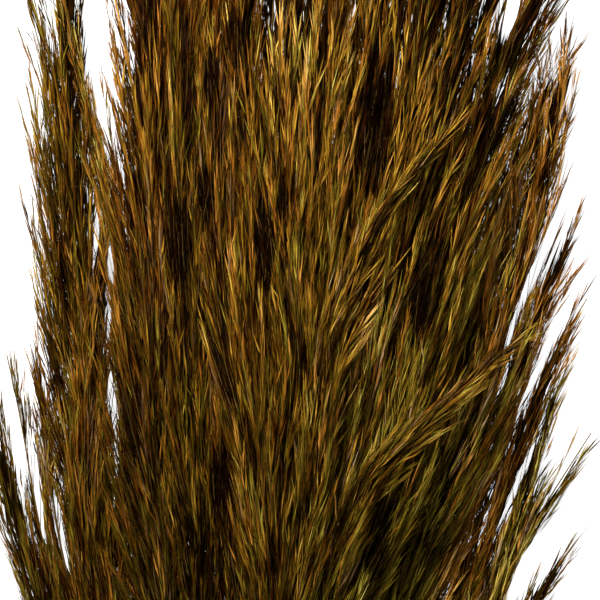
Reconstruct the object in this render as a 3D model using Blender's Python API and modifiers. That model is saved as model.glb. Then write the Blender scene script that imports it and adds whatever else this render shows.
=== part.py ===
"""Bundle of plume reed, dried and tied, lying on a flat surface.

Each reed is one grown piece: a round stem that runs on as the stalk of its
plume. The plume is given here as the slim spindle that its branches fill. The
stems are drawn together by four turns of twine and fan out on both sides of it,
a little towards the cut ends and widely towards the plumes.

Metres. Y runs along the bundle from the cut ends to the plumes, X across it and
Z up from the surface. The origin is in the middle of the footprint.
"""

import math

import bmesh
import bpy
import numpy as np
from mathutils import Vector

# ---- driving dimensions -------------------------------------------------
MM = 0.001
TIE_Y = 300.0 * MM          # the twine, from the lowest cut end
TIE_X = -36.0 * MM          # and from the middle of the plumes
STEM_LEAN = 0.045           # the cut ends lie this much further left per length
TWINE = 2.6 * MM            # twine diameter
TIE_TURNS = 4               # turns side by side
KNOT = (4.6 * MM, 4.4 * MM, 2.7 * MM)   # half sizes of the knot on top
TAIL_SWEEP = (62, 71)       # how far each cut end hangs round the tie, degrees
STEM_BASE = 2.1 * MM        # stem radius at the cut end
STEM_TIE = 1.75 * MM        # at the twine
STEM_NECK = 1.15 * MM       # where the plume begins
TIP = 0.5 * MM              # plume end
FILLERS = 18                # reeds below the ones that show on top
GAP_STEM = 0.28 * MM        # clear space kept between two stems
GAP_PLUME = 0.6 * MM        # and between two plumes
TIE_SLACK = 0.45 * MM
STATIONS = 16               # sections along one reed
SIDES = 1                   # bevel resolution: six sides
SPREAD_AT_CUT = 1.55        # stems stand this much wider at the cut ends
SEED = 3

# The reeds that lie on top, each as (course, plume radius, plume start, height
# rank, colour). A course is the line of the plume from neck to tip, as x and y in
# millimetres, x from the bundle's middle and y from the lowest cut end.
TOP_REEDS = [
    # left side, from the outside in
    ([(-125, 530), (-132, 555), (-140, 580), (-150, 610), (-158, 640), (-166, 668)], 6.5, 385, 1, "olive"),
    ([(-119, 530), (-125, 550), (-131, 578), (-136, 605), (-142, 645), (-150, 676)], 4.2, 405, 2, "olive"),
    ([(-110, 530), (-116, 550), (-121, 570), (-125, 595), (-128, 620), (-131, 645), (-135, 682)], 4.2, 410, 1, "rust"),
    ([(-98, 550), (-103, 600), (-108, 650), (-113, 700), (-116, 750), (-117, 800), (-119, 850), (-120, 912)], 9.6, 485, 3, "golden"),
    ([(-104, 540), (-107, 570), (-109, 600), (-109, 650), (-106, 685), (-102, 715), (-97, 752)], 6.4, 430, 6, "rust"),
    ([(-78, 575), (-81, 620), (-85, 670), (-92, 725), (-99, 760), (-108, 802), (-117, 838), (-123, 866)], 4.0, 470, 6, "rust"),
    # the body of the bundle
    ([(-68, 550), (-70, 600), (-72, 650), (-74, 700), (-75, 750), (-75, 800), (-75, 850), (-76, 930)], 9.0, 490, 4, "rust"),
    ([(-50, 550), (-49, 600), (-49, 650), (-51, 700), (-56, 750), (-58, 800), (-59, 850), (-59, 950)], 9.2, 500, 4, "golden"),
    ([(-30, 550), (-32, 600), (-34, 650), (-37, 700), (-41, 750), (-43, 800), (-43, 850), (-42, 945)], 9.0, 510, 3, "rust"),
    ([(-14, 551), (-16, 590), (-21, 635), (-29, 675), (-40, 707), (-50, 737)], 8.0, 480, 8, "golden"),
    ([(-8, 551), (-9, 600), (-8, 650), (-10, 700), (-10, 750), (-9, 800), (-6, 856)], 8.8, 470, 6, "golden"),
    ([(-5, 551), (-5, 600), (-1, 650), (2, 700), (6, 750), (11, 800), (17, 850), (22, 905)], 9.0, 520, 5, "golden"),
    ([(-2, 551), (-1, 600), (5, 650), (15, 700), (25, 750), (33, 800), (40, 850), (48, 925)], 9.2, 500, 4, "golden"),
    ([(0, 551), (4, 600), (14, 650), (31, 700), (44, 750), (55, 800), (64, 850), (73, 905)], 9.2, 530, 4, "golden"),
    ([(8, 551), (18, 600), (33, 650), (47, 700), (60, 750), (73, 800), (85, 850), (94, 890)], 9.0, 480, 3, "olive"),
    # right side, leaning outwards
    ([(25, 570), (35, 605), (45, 635), (55, 665), (65, 695), (73, 722), (82, 750), (97, 800), (118, 850), (143, 903)], 9.2, 500, 5, "olive"),
    ([(50, 570), (65, 600), (77, 625), (90, 650), (99, 675), (106, 700), (113, 727), (120, 757), (129, 795), (138, 840)], 9.6, 460, 4, "rust"),
    ([(38, 570), (52, 602), (65, 633), (77, 662), (88, 692), (97, 722), (105, 752), (113, 782), (128, 812), (143, 832)], 8.8, 440, 2, "golden"),
    ([(70, 570), (80, 590), (90, 610), (100, 635), (107, 655), (115, 680), (121, 700), (129, 715), (136, 728), (145, 746)], 7.8, 430, 3, "golden"),
    ([(86, 550), (95, 575), (104, 600), (112, 625), (117, 642), (122, 657), (128, 672), (135, 687), (149, 704)], 7.2, 415, 2, "golden"),
    ([(95, 540), (104, 560), (112, 577), (120, 590), (128, 603), (138, 618), (150, 636)], 4.4, 410, 1, "olive"),
    # slender ones that lie across the others
    ([(0, 570), (3, 610), (9, 650), (16, 685), (26, 717), (37, 742), (50, 762), (65, 777), (85, 793)], 7.6, 500, 8, "golden"),
    ([(9, 550), (17, 580), (29, 605), (42, 627), (57, 643), (75, 658), (92, 670), (110, 679), (127, 689)], 8.0, 470, 9, "golden"),
    # between the others
    ([(-14, 551), (-17, 600), (-19, 650), (-23, 700), (-27, 750), (-29, 800), (-30, 850), (-30, 930)], 8.6, 540, 2, "golden"),
    ([(-2, 551), (0, 610), (7, 645), (19, 675), (32, 698), (49, 720)], 7.4, 485, 7, "golden"),
    ([(100, 510), (115, 540), (124, 555), (131, 564), (141, 579)], 4.2, 370, 1, "olive"),
    ([(97, 540), (101, 560), (107, 580), (112, 600), (117, 620), (122, 640), (130, 655), (139, 671)], 5.0, 410, 2, "olive"),
]

# How the lower reeds flow: x at the heights of FLOW_Y, from the left edge to the
# right, in millimetres.
FLOW_Y = (551, 600, 650, 700, 750, 800, 850, 990)
FLOW = [
    (-68, -69, -71, -73, -74, -75, -75, -75),
    (-50, -49, -49, -51, -56, -59, -60, -60),
    (-30, -32, -34, -37, -41, -43, -43, -42),
    (-14, -17, -19, -23, -27, -29, -30, -30),
    (-8, -9, -8, -10, -10, -9, -6, 0),
    (-5, -5, -1, 2, 6, 11, 17, 32),
    (-2, -1, 5, 15, 25, 33, 40, 56),
    (0, 4, 14, 31, 44, 55, 64, 88),
    (8, 18, 33, 47, 60, 73, 85, 118),
    (20, 33, 50, 66, 82, 98, 119, 150),
]


# ---- where the reeds run ------------------------------------------------
def smooth_course(points):
    """x as a function of y through the twine's middle and the course's points."""
    ys = np.array([TIE_Y - 0.05, TIE_Y] + [p[1] * MM for p in points])
    xs = np.array([TIE_X, TIE_X] + [p[0] * MM for p in points])
    fine = np.linspace(ys[0], ys[-1], 240)
    x = np.interp(fine, ys, xs)
    for _ in range(260):  # round the corners off
        x[1:-1] += 0.5 * ((x[:-2] + x[2:]) / 2 - x[1:-1])
    return fine, x


def make_reeds():
    """The list of reeds: course, plume radius, plume start, tip, rank, colour."""
    rng = np.random.default_rng(SEED)
    reeds = []
    for points, radius, start, rank, colour in TOP_REEDS:
        fine, x = smooth_course(points)
        reeds.append(dict(fine=fine, x=x, radius=radius * MM, start=start * MM,
                          tip=points[-1][1] * MM, rank=rank, colour=colour, top=True))
    flow = np.array(FLOW, float)
    for k in range(FILLERS):
        # golden-ratio steps spread the lower reeds evenly over the width
        share = (0.5 + k * 0.6180339887) % 1.0
        at_700 = -65 + 127 * share
        tip = 988 - 75 * rng.random() ** 1.4 - 30 * abs(share - 0.35) - 560 * max(share - 0.82, 0)
        course = [(float(np.interp(at_700, flow[:, 3], flow[:, c])), y) for c, y in enumerate(FLOW_Y)]
        end = (float(np.interp(tip, FLOW_Y, [p[0] for p in course])), tip)
        points = [p for p in course if p[1] < tip - 30] + [end]
        fine, x = smooth_course(points)
        colour = ("rust", "golden", "olive", "golden", "rust")[k % 5]
        reeds.append(dict(fine=fine, x=x, radius=(8.0 + 1.4 * rng.random()) * MM,
                          start=(tip - 400 - 30 * rng.random()) * MM, tip=tip * MM,
                          rank=(k % 3) * 0.8, colour=colour, top=False))
    for k, reed in enumerate(reeds):
        reed["cut"] = 0.016 * rng.random()
    return reeds


def stations_of(reed):
    """Section heights along y and the radius at each."""
    start, tip = reed["start"], reed["tip"]
    stem = [reed["cut"], 0.12, 0.215, TIE_Y - 0.014, TIE_Y + 0.014]
    neck = max(start, TIE_Y + 0.060)
    plume = tip - neck
    shares = (0.0, 0.09, 0.19, 0.29, 0.39, 0.50, 0.61, 0.72, 0.83, 0.92, 1.0)
    swell = (0.0, 0.42, 0.80, 0.98, 1.0, 0.95, 0.85, 0.70, 0.50, 0.30, 0.0)
    ys = stem + [neck + plume * s for s in shares]
    rs = [STEM_BASE, 0.5 * (STEM_BASE + STEM_TIE), STEM_TIE, STEM_TIE, STEM_TIE]
    rs += [max(STEM_NECK * (1 - 0.5 * s), reed["radius"] * w) if s < 1 else TIP
           for s, w in zip(shares, swell)]
    rs[5] = STEM_NECK
    return np.array(ys), np.array(rs)


def hexagon_slots(count, pitch):
    """The places of the stems inside the twine, closest to the middle first."""
    places = []
    for row in range(-6, 7):
        for col in range(-6, 7):
            places.append((pitch * (col + 0.5 * (row % 2)), pitch * row * math.sqrt(3) / 2))
    centre = (0.25 * pitch, 0.0)
    places.sort(key=lambda p: (round(math.hypot(p[0] - centre[0], p[1] - centre[1]), 7), p))
    slots = np.array(places[:count])
    middle = (slots.max(0) + slots.min(0)) / 2
    return slots - middle


def assign(slots, wishes):
    """Gives each reed the slot that lies most like its place in the fan."""
    order = list(range(len(wishes)))
    cost = ((wishes[:, None, :] - slots[None, :, :]) ** 2).sum(2)
    changed = True
    while changed:
        changed = False
        for a in range(len(order)):
            for b in range(a + 1, len(order)):
                now = cost[a, order[a]] + cost[b, order[b]]
                new = cost[a, order[b]] + cost[b, order[a]]
                if new < now - 1e-12:
                    order[a], order[b] = order[b], order[a]
                    changed = True
    return slots[order]


def weights_onto(ys, slices):
    """Matrix that reads a course at the slices from its values at the stations."""
    w = np.zeros((len(slices), len(ys)))
    inside = (slices >= ys[0]) & (slices <= ys[-1])
    k = np.clip(np.searchsorted(ys, slices) - 1, 0, len(ys) - 2)
    t = (slices - ys[k]) / (ys[k + 1] - ys[k])
    rows = np.flatnonzero(inside)
    w[rows, k[rows]] = 1 - t[rows]
    w[rows, k[rows] + 1] = t[rows]
    return w


def settle(reeds):
    """Lays the reeds down without overlaps: x and z at each station."""
    n = len(reeds)
    ys, rs = map(np.array, zip(*[stations_of(r) for r in reeds]))
    slices = np.arange(0.0, 1.0, 0.0075)
    w = np.array([weights_onto(y, slices) for y in ys])
    there = w.sum(2) > 0.5
    radius = np.einsum("isn,in->is", w, rs)
    gap = np.interp(radius, (STEM_BASE, 2 * STEM_BASE), (GAP_STEM / 2, GAP_PLUME / 2))
    target = np.array([np.interp(y, r["fine"], r["x"]) for y, r in zip(ys, reeds)])
    rank = np.array([r["rank"] for r in reeds], float)
    top = np.array([r["top"] for r in reeds])

    # the round pack inside the twine
    pitch = 2 * STEM_TIE + 0.40 * MM
    slots = hexagon_slots(n, pitch)
    reach = np.hypot(slots[:, 0], slots[:, 1]).max() + STEM_TIE
    middle = reach + TIE_SLACK + TWINE
    aside = target[:, 7] - TIE_X
    wish_x = (aside - aside.mean()) / np.abs(aside - aside.mean()).max() * reach
    wish_z = (rank - rank.mean()) / (rank.max() - rank.min()) * 2.1 * reach
    slots = assign(slots, np.stack([wish_x, wish_z], 1))
    x, z = np.zeros_like(ys), np.zeros_like(ys)
    for i in range(n):
        rise = np.interp(ys[i], (TIE_Y + 0.014, 0.52, 1.0), (0.0, 1.0, 1.0))
        spread = np.interp(ys[i], (0.0, TIE_Y - 0.014, 1.0), (SPREAD_AT_CUT, 1.0, 1.0))
        low = slots[i, 1] * spread + middle * np.interp(ys[i], (0, TIE_Y), (1.45, 1.0))
        z[i] = (1 - rise) * low + rise * (0.012 + 0.0105 * rank[i])
        base = TIE_X + slots[i, 0] * spread - STEM_LEAN * np.maximum(TIE_Y - 0.014 - ys[i], 0)
        blend = np.interp(ys[i], (TIE_Y + 0.014, 0.50, 1.0), (0.0, 1.0, 1.0))
        x[i] = base * (1 - blend) + target[i] * np.maximum(blend, 0)
        target[i] = x[i]
    pinned = np.zeros_like(ys, bool)
    pinned[:, 3:5] = True
    pin_x, pin_z = x.copy(), z.copy()
    # the lower stems swing free of the surface too
    step = np.diff(ys, axis=1)
    share = step[:, :-1] / (step[:, :-1] + step[:, 1:])
    pairs = there[:, None, :] & there[None, :, :]
    pairs &= (np.arange(n)[:, None] < np.arange(n)[None, :])[:, :, None]
    a, b, s = np.nonzero(pairs)
    hold = np.where(top, 0.15, 1.0)
    rounds, ease = 620, 200
    worst = 0.0
    for turn in range(rounds + ease):
        free = turn < rounds
        if free:
            z -= 0.00045 * (~pinned) * min(1.0, 1.6 - 1.6 * turn / rounds)
            x += (target - x) * np.where(top, 0.20, 0.012)[:, None]
            for p, aim in ((x, target), (z, np.zeros_like(z))):
                d = p - aim
                for _ in range(2):
                    bend = (1 - share) * d[:, :-2] + share * d[:, 2:] - d[:, 1:-1]
                    push = 0.24 * bend
                    d[:, 1:-1] += push
                    p[:, 1:-1] += push
                p[:, 0] += 0.10 * (p[:, 1] + (p[:, 1] - p[:, 2]) * step[:, 0] / step[:, 1] - p[:, 0])
                p[:, -1] += 0.10 * (p[:, -2] + (p[:, -2] - p[:, -3]) * step[:, -1] / step[:, -2] - p[:, -1])
        x[pinned], z[pinned] = pin_x[pinned], pin_z[pinned]
        for _ in range(2):
            dx = np.einsum("isn,in->is", w, x)
            dz = np.einsum("isn,in->is", w, z)
            # a leaning reed is wider in a section across the bundle
            lean_x = np.gradient(dx, slices, axis=1) * there
            lean_z = np.gradient(dz, slices, axis=1) * there
            lean = np.sqrt(1 + np.clip(lean_x ** 2 + lean_z ** 2, 0, 3))
            wide = radius * lean
            ex, ez = dx[a, s] - dx[b, s], dz[a, s] - dz[b, s]
            far = np.sqrt(ex * ex + ez * ez) + 1e-9
            need = wide[a, s] + wide[b, s] + gap[a, s] + gap[b, s]
            over = np.maximum(need - far, 0)
            hit = over > 0
            worst = float(over.max()) if hit.any() else 0.0
            ax, bx, sx = a[hit], b[hit], s[hit]
            over, nx, nz = over[hit], ex[hit] / far[hit], ez[hit] / far[hit]
            ha, hb = hold[ax], hold[bx]
            fx, fz, count = np.zeros_like(dx), np.zeros_like(dz), np.zeros_like(dx)
            np.add.at(fx, (ax, sx), over * nx * ha / (ha + hb))
            np.add.at(fx, (bx, sx), -over * nx * hb / (ha + hb))
            np.add.at(fz, (ax, sx), over * nz * 0.5)
            np.add.at(fz, (bx, sx), -over * nz * 0.5)
            np.add.at(count, (ax, sx), 1)
            np.add.at(count, (bx, sx), 1)
            count = np.maximum(count, 1)
            fx, fz = fx / count ** 0.5, fz / count ** 0.5
            below = np.maximum(wide + 0.0002 - dz, 0) * there
            fz += below
            moved = (np.abs(fx) + np.abs(fz)) > 0
            total = np.maximum(np.einsum("isn,is->in", w, moved.astype(float)), 0.35)
            x += 1.15 * np.einsum("isn,is->in", w, fx) / total
            z += 1.15 * np.einsum("isn,is->in", w, fz) / total
            x[pinned], z[pinned] = pin_x[pinned], pin_z[pinned]
        if not free and worst < 0.00002:
            break
    k = int(np.argmax(np.maximum(need - far, 0)))
    print("worst pair", a[k] + 1, b[k] + 1, "at", round(float(slices[s[k]]), 3), "turn", turn)
    return ys, rs, x, z, middle, reach, worst


# ---- the objects ----------------------------------------------------------
COLOURS = {
    "golden": ((0.42, 0.25, 0.045, 1.0), 0.55),
    "rust": ((0.33, 0.13, 0.035, 1.0), 0.60),
    "olive": ((0.20, 0.17, 0.035, 1.0), 0.60),
    "twine": ((0.45, 0.33, 0.19, 1.0), 0.85),
}


def material(name):
    colour, rough = COLOURS[name]
    mat = bpy.data.materials.new(name)
    mat.use_nodes = True
    node = mat.node_tree.nodes["Principled BSDF"]
    node.inputs["Base Color"].default_value = colour
    node.inputs["Roughness"].default_value = rough
    node.inputs["Metallic"].default_value = 0.0
    mat.diffuse_color = colour
    return mat


def reed_object(name, ys, rs, x, z, mat, collection):
    """One reed as a tapering round rod through its stations."""
    curve = bpy.data.curves.new(name, "CURVE")
    curve.dimensions = "3D"
    curve.bevel_mode = "ROUND"
    curve.bevel_depth = 1.0 * MM
    curve.bevel_resolution = SIDES
    curve.use_fill_caps = True
    curve.twist_mode = "Z_UP"
    spline = curve.splines.new("POLY")
    spline.points.add(len(ys) - 1)
    for k in range(len(ys)):
        spline.points[k].co = (x[k], ys[k], z[k], 1.0)
        spline.points[k].radius = rs[k] / (1.0 * MM)
    curve.materials.append(mat)
    obj = bpy.data.objects.new(name, curve)
    collection.objects.link(obj)
    return obj


def ring_of_turns(name, radius, collection):
    """The twine's turns as one ring round Y, its rim scalloped by the turns."""
    across = 1.04 * TWINE
    half = TIE_TURNS * across / 2
    mesh = bpy.data.meshes.new(name)
    profile = [(radius, -half + 0.0006)]
    for k in range(TIE_TURNS):
        for t in (0.15, 0.5, 0.85):
            bulge = math.sin(math.pi * t)
            profile.append((radius + TWINE * (0.62 + 0.38 * bulge), -half + across * (k + t)))
    profile.append((radius, half - 0.0006))
    verts = [(r, y, 0.0) for r, y in reversed(profile)]
    count = len(verts)
    mesh.from_pydata(verts, [(k, (k + 1) % count) for k in range(count)], [])
    obj = bpy.data.objects.new(name, mesh)
    collection.objects.link(obj)
    screw = obj.modifiers.new("turned", "SCREW")
    screw.axis = "Y"
    screw.steps = screw.render_steps = 28
    screw.use_merge_vertices = True
    screw.merge_threshold = 0.00001
    screw.use_smooth_shade = True
    return obj


def knot_lump(name, collection):
    """The knot's outer shape."""
    bm = bmesh.new()
    bmesh.ops.create_uvsphere(bm, u_segments=12, v_segments=8, radius=1.0)
    bmesh.ops.scale(bm, vec=KNOT, verts=bm.verts)
    mesh = bpy.data.meshes.new(name)
    bm.to_mesh(mesh)
    bm.free()
    obj = bpy.data.objects.new(name, mesh)
    collection.objects.link(obj)
    return obj


def twine_end(name, side, sweep, outer, middle, collection):
    """One cut end of the twine, from the knot down round the outside of the turns."""
    curve = bpy.data.curves.new(name, "CURVE")
    curve.dimensions = "3D"
    curve.bevel_depth = TWINE / 2
    curve.bevel_resolution = 2
    curve.use_fill_caps = True
    spline = curve.splines.new("POLY")
    count = 9
    spline.points.add(count - 1)
    for k in range(count):
        t = k / (count - 1)
        turn = math.radians(90 - side * (4 + sweep * t))
        out = outer + TWINE * (0.45 + 0.55 * min(1.0, 3 * t) + 0.5 * t * t)
        along = side * 0.0065 * (t ** 1.3)
        spline.points[k].co = (TIE_X + out * math.cos(turn), TIE_Y + along, middle + out * math.sin(turn), 1.0)
    bent = bpy.data.objects.new(name + "_course", curve)
    collection.objects.link(bent)
    bpy.context.view_layer.update()
    evaluated = bent.evaluated_get(bpy.context.evaluated_depsgraph_get())
    mesh = bpy.data.meshes.new_from_object(evaluated)
    bm = bmesh.new()
    bm.from_mesh(mesh)
    bmesh.ops.remove_doubles(bm, verts=bm.verts, dist=0.00001)
    bm.to_mesh(mesh)
    bm.free()
    obj = bpy.data.objects.new(name, mesh)
    obj.matrix_world = bent.matrix_world
    collection.objects.link(obj)
    bpy.data.objects.remove(bent)
    return obj


def tie_object(name, radius, middle, mat, collection, cutters):
    """The twine: its turns, with the knot and both cut ends joined on."""
    obj = ring_of_turns(name, radius, collection)
    obj.location = (TIE_X, TIE_Y, middle)
    outer = radius + TWINE
    knot = knot_lump("knot", cutters)
    knot.location = (TIE_X, TIE_Y, middle + outer + 0.35 * KNOT[2])
    knot.rotation_euler = (0.0, 0.0, math.radians(24))
    ends = [twine_end("end_%d" % (k + 1), side, sweep, outer, middle, cutters)
            for k, (side, sweep) in enumerate(zip((1, -1), TAIL_SWEEP))]
    for piece in [knot] + ends:
        piece.hide_render = True
        piece.display_type = "WIRE"
        join = obj.modifiers.new("with " + piece.name, "BOOLEAN")
        join.operation = "UNION"
        join.solver = "EXACT"
        join.object = piece
    obj.data.materials.append(mat)
    return obj


def main():
    for old in list(bpy.data.objects):
        bpy.data.objects.remove(old)
    collection = bpy.data.collections.new("plume_reed_bundle")
    cutters = bpy.data.collections.new("shapes_joined_on")
    bpy.context.scene.collection.children.link(collection)
    bpy.context.scene.collection.children.link(cutters)
    mats = {name: material(name) for name in COLOURS}

    reeds = make_reeds()
    ys, rs, x, z, middle, reach, worst = settle(reeds)
    print("reeds", len(reeds), "largest overlap left", round(worst * 1000, 4), "mm")
    made = []
    for k, reed in enumerate(reeds):
        made.append(reed_object("reed_%02d" % (k + 1), ys[k], rs[k], x[k], z[k],
                                mats[reed["colour"]], collection))
    made.append(tie_object("twine_tie", reach + TIE_SLACK, middle, mats["twine"], collection, cutters))

    # the origin goes to the middle of the footprint, on the surface
    depsgraph = bpy.context.evaluated_depsgraph_get()
    low, high = np.full(3, np.inf), np.full(3, -np.inf)
    for obj in made:
        bpy.context.view_layer.update()
        evaluated = obj.evaluated_get(depsgraph)
        mesh = evaluated.to_mesh()
        for v in mesh.vertices:
            at = np.array(evaluated.matrix_world @ v.co)
            low, high = np.minimum(low, at), np.maximum(high, at)
        evaluated.to_mesh_clear()
    shift = Vector((-(low[0] + high[0]) / 2, -(low[1] + high[1]) / 2, -low[2]))
    for obj in made + list(cutters.objects):
        obj.location = obj.location + shift
    print("size", np.round(high - low, 4), "shift", [round(v, 5) for v in shift])


main()
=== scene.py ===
"""Looks of the bundle of plume reed: every reed as a stem with its plume of branches
and spikelets, and the twine that ties them.

Each reed follows its own CAD node: the line and the thickness are read from the
node's mesh, and the plume is grown round that line.
"""

import math

import bpy
import numpy as np
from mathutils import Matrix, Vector


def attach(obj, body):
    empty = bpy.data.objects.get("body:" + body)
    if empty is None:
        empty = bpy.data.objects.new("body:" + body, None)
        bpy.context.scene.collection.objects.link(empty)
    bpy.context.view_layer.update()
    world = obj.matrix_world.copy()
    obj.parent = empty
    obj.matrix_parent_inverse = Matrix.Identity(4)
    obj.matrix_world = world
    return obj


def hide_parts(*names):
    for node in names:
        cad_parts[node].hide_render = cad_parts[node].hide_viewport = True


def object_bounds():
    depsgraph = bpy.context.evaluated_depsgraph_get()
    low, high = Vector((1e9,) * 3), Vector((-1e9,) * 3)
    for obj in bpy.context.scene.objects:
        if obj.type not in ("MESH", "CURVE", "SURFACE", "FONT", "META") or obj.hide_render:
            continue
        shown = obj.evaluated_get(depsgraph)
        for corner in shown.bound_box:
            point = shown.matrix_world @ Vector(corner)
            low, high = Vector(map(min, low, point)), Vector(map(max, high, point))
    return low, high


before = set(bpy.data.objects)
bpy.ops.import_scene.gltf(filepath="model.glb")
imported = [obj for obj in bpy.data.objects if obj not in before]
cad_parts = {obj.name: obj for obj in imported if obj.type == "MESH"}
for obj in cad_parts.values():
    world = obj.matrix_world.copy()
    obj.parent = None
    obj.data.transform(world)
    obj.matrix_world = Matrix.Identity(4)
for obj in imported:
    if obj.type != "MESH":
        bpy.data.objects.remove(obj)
CAD_BOX = [list(map(float, p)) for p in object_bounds()]

MM = 0.001
SEED = 4711
GOLDEN_ANGLE = math.pi * (3 - math.sqrt(5))
TOP = CAD_BOX[1][2] + 4 * MM
SHIFT = (8.1, -492.5)        # from the bundle's own measures to the shared frame, millimetres

# ---- the colour map's layout ------------------------------------------------
# u is the tone, dark to bright. v picks the family of colour and runs from base to
# tip inside it.
BANDS = 4                    # gold, rust, olive, mauve
BAND_0, BAND_STEP, BAND_TALL = 0.02, 0.15, 0.14
BRANCH_V = (0.635, 0.715)
STEM_V = (0.745, 0.905)
CUT_V = (0.925, 0.985)
STRIP = 0.0042               # one side of a spikelet, across
NODE_U = (0.15, 0.385, 0.62, 0.86)   # a stem's nodes on the map

GOLD, RUST, OLIVE, MAUVE = range(4)

# Each reed's own tone, added to its spikelets' tones. It is partly the reed's own colour and partly painted light and
# shade: reeds lower in the heap are darker, and reeds that lie in shade, such as 18, are lighter. Reeds not listed
# lie under the others and get -0.38, which is painted shade.
TONES = {
    1: -0.46, 2: 0.03, 3: 0.20, 4: -0.06, 5: 0.08, 6: 0.23, 7: -0.02, 8: -0.05, 9: -0.01,
    10: 0.00, 11: 0.08, 12: 0.09, 13: -0.02, 14: 0.05, 15: 0.13, 16: 0.06, 17: 0.03,
    18: 0.49, 19: 0.10, 20: 0.03, 21: 0.13, 22: 0.12, 23: 0.08, 24: -0.03, 25: 0.19,
    26: 0.03, 27: 0.12,
}
# And what is added on top of it per 150 mm towards the root, from 700 mm up on: painted light and shade along the
# reed, mostly lightening lower parts that lie in shade.
SLOPES = {
    1: 0.42, 2: 0.08, 4: 0.08, 5: -0.06, 6: -0.03, 7: 0.02, 8: 0.04, 9: 0.05, 10: 0.05, 12: 0.04,
    14: 0.04, 15: 0.22, 16: 0.14, 17: 0.09, 18: 0.22, 19: 0.20, 20: -0.04, 21: 0.08, 23: 0.12, 24: 0.04, 25: 0.20,
    26: -0.08,
}
SHOWN = 27                   # reeds that lie on top
TURNING = {4: -0.15, 7: 1.05, 15: 0.70, 16: 1.35, 17: 2.0, 18: 1.05, 19: 1.05, 20: 1.05, 23: 1.05}   # greener at the root than at the tip
# How green each reed is: above 0 more olive, below 0 more rust.
GREENS = {
    1: 0.12, 2: 0.24, 3: 0.00, 4: 0.10, 5: 0.17, 6: 0.46, 7: 0.11, 8: 0.12, 9: 0.07, 10: 0.06, 11: 0.03,
    12: 0.01, 13: 0.05, 14: 0.00, 15: -0.08, 16: 0.15, 17: 0.50, 18: 0.14, 19: -0.38, 20: -0.14, 21: 0.02,
    22: 0.12, 23: 0.44, 24: -0.19, 25: -0.07, 26: 0.09, 27: 0.15,
}
# Where the plumes stand apart and their spikelets lie in shade, and where they stand up
# into the light, as x, y, half width, half length in millimetres, the lean to the
# right, and the tone that is added.
SHADES = (
    (-44.5, 812, 3.6, 18, 0, -0.80), (-33, 833, 6, 16, 0, -0.40), (-47, 752, 4.2, 15, 0, -0.75),
    (-60, 727, 6.4, 24, 0, -0.52), (-17.5, 727, 5.0, 26, 0, -0.66), (-73, 619, 3.5, 28, 0, -0.34),
    (-39, 612, 6.5, 20, 4, -0.56), (-50, 574, 3, 12, 8, -0.35), (-14, 572, 4.5, 16, 0, -0.42),
    (39, 584, 6.2, 28, 4, -0.52), (99, 784, 5.5, 20, 27, -0.58), (60, 749, 3, 14, 6, -0.32),
    (40, 786, 7, 38, 6, -0.60), (64, 708, 8.5, 35, 10, -0.46), (-38, 668, 7, 20, -14, -0.36),
    (-2, 828, 24, 26, 0, 0.16), (36, 682, 8.5, 24, 16, 0.34), (87, 646, 11, 28, 20, 0.30),
)
# Gaps one can see the floor through, in the same way; no branch ends there.
GAPS = (
    (-103.5, 844, 5.8, 20, -5), (-102, 808, 2.0, 18, -8), (-95.5, 721, 1.8, 8, 0), (-96.5, 695, 0.8, 10, 0),
    (-94.5, 653, 1.6, 12, 0), (-93, 622, 1.0, 7, 0), (-95, 603, 0.7, 8, 0), (-13, 843, 1.2, 8, -6),
    (108, 852, 3.2, 18, 14), (101, 806, 1.8, 9, 30), (-103, 734, 1.0, 12, 4), (-142, 632, 2.2, 20, -10),
    (-134, 606, 2.2, 22, -10), (-121, 582, 2.2, 15, -13), (107, 685, 1.2, 9, 14), (103, 661, 1.2, 8, 18),
    (123, 725, 2.5, 24, 25), (146, 664, 6, 14, 20), (-142, 702, 5, 24, 4), (127, 678, 1.9, 32, 26),
    (112, 612, 1.6, 24, 26), (139, 622, 2.2, 26, 30), (113.5, 564, 4.6, 16, 24),
)
# Plumes whose branches all bend a little to one side: how far their ends go, to the right.
BENT = {1: 3.0, 2: 3.0, 4: -3.2, 7: -7.8, 15: 1.5, 16: 0.7, 17: -3.5, 19: -1.5, 20: -1.5}
# How full a plume is against the room that it keeps.
FULLNESS = {1: 1.25, 4: 1.45, 5: 0.95, 7: 1.36, 8: 0.90, 9: 0.82, 10: 0.82, 11: 1.08, 12: 1.05, 13: 0.88, 14: 0.84,
            15: 0.98, 16: 1.30, 17: 1.25, 18: 1.25, 19: 1.10, 20: 1.05, 21: 1.50, 22: 0.70, 23: 0.66, 24: 0.75, 25: 0.90,
            26: 1.35, 27: 1.05}

# How many more dark inner spikelets, dark with painted shade, the upper part of a plume has.
FILLED = {7: 90, 12: 110, 13: 280, 14: 280, 15: 280, 16: 90}


# ---- small helpers -----------------------------------------------------------
def unit(v):
    return v / np.maximum(np.linalg.norm(v, axis=-1, keepdims=True), 1e-12)


def sideways(t):
    """Two directions across t, for many at once."""
    up = np.where(np.abs(t[..., 2:3]) < 0.9, np.array([0.0, 0.0, 1.0]), np.array([1.0, 0.0, 0.0]))
    a = unit(np.cross(t, up))
    return a, np.cross(t, a)


def lifted(p):
    """What would sink into the surface lies flat on it instead, and stray tips stay low."""
    q = p.copy()
    low = q[..., 2] < 3 * MM
    q[..., 2] = np.where(low, 0.4 * MM + 2.6 * MM * np.exp(np.minimum(q[..., 2] - 3 * MM, 0) / (2.6 * MM)), q[..., 2])
    over = np.maximum(q[..., 2] - TOP, 0)     # and nothing stands far above the reeds
    q[..., 2] = np.where(over > 0, TOP + 6 * MM * (1 - np.exp(-over / (6 * MM))), q[..., 2])
    return q


def depth_in(mark, at):
    x, y, half, tall, lean = mark[:5]
    dy = at[:, 1] / MM - y - SHIFT[1]
    dx = at[:, 0] / MM - x - SHIFT[0] - dy * math.tan(math.radians(lean))
    return 1 - (dx / half) ** 2 - (dy / tall) ** 2


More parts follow.
